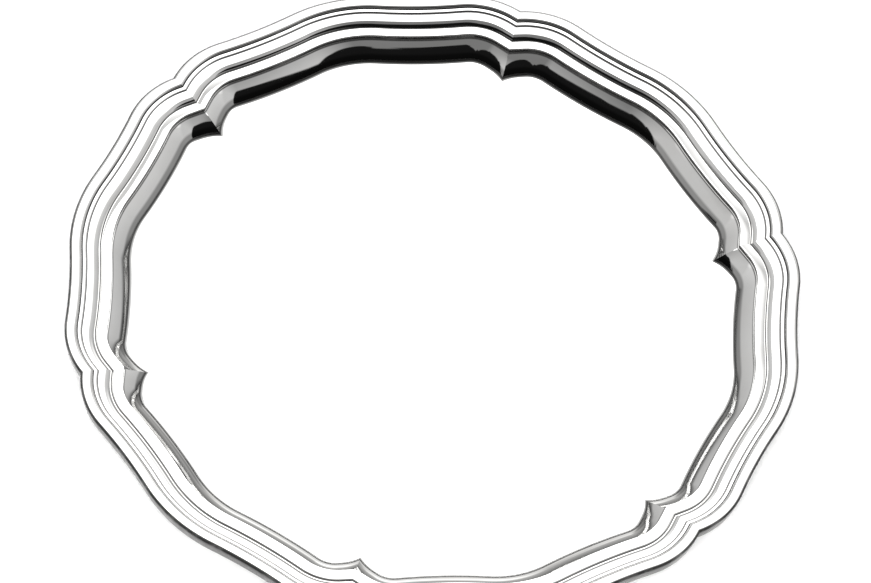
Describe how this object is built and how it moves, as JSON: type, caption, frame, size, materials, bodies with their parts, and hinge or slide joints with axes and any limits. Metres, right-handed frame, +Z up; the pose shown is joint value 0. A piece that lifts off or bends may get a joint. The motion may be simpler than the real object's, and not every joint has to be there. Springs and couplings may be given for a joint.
{
  "type": "offering plate",
  "caption": "Shaped silver-plated offering plate: flat mirror well, raised moulded border with pointed notches, beaded edge band.",
  "frame": {"origin": "centre of the flat base, on the surface that the plate stands on", "axes": "+Z up out of the well; one notch points along +Y, the others every sixth of a turn from it"},
  "size_m": [0.305, 0.305, 0.013],
  "materials": {
    "plated_sheet": "silver plate, burnished to a mirror",
    "plated_border": "silver plate over a stamped moulding, polished",
    "plated_edge_band": "silver plate over drawn wire, polished",
    "soft_solder": "dull cast lead-tin solder"
  },
  "bodies": {
    "root": {"well_plate": "plated_sheet", "border_1": "plated_border", "border_2": "plated_border", "border_3": "plated_border", "border_4": "plated_border", "border_5": "plated_border", "border_6": "plated_border", "edge_band_1": "plated_edge_band", "edge_band_2": "plated_edge_band", "edge_band_3": "plated_edge_band", "edge_band_4": "plated_edge_band", "edge_band_5": "plated_edge_band", "edge_band_6": "plated_edge_band", "filling_1": "soft_solder", "filling_2": "soft_solder", "filling_3": "soft_solder", "filling_4": "soft_solder", "filling_5": "soft_solder", "filling_6": "soft_solder"}
  },
  "joints": []
}
